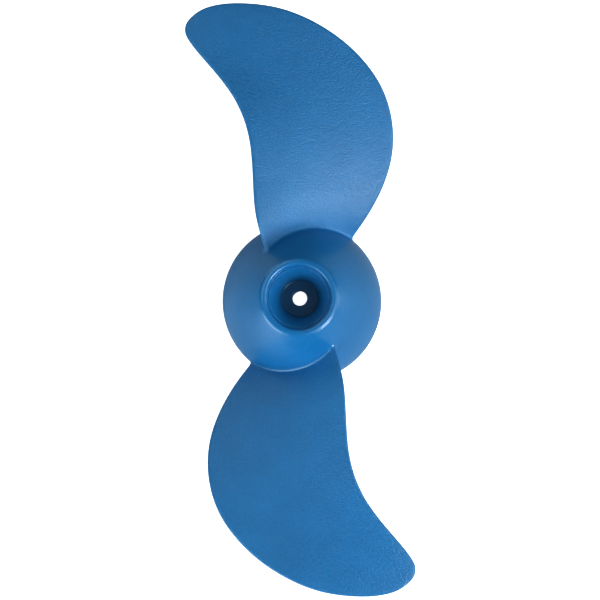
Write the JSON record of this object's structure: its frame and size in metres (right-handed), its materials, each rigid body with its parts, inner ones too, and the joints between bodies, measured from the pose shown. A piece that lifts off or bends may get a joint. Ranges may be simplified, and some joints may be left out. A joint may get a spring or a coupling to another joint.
{
  "type": "electric outboard motor propeller",
  "caption": "Blue moulded plastic propeller of a small electric outboard motor: swept-back blades on a hollow tapered hub with a recess for its nut.",
  "frame": {"origin": "on the shaft's axis, in the plane of the hub's open rim, which faces the motor", "axes": "+Z along the shaft towards the nut end, +Y along the blades' span"},
  "size_m": [0.1088, 0.2788, 0.047],
  "materials": {
    "propeller": "blue glass-filled nylon, satin with a fine moulded grain"
  },
  "bodies": {
    "root": {"propeller": "propeller"}
  },
  "joints": []
}
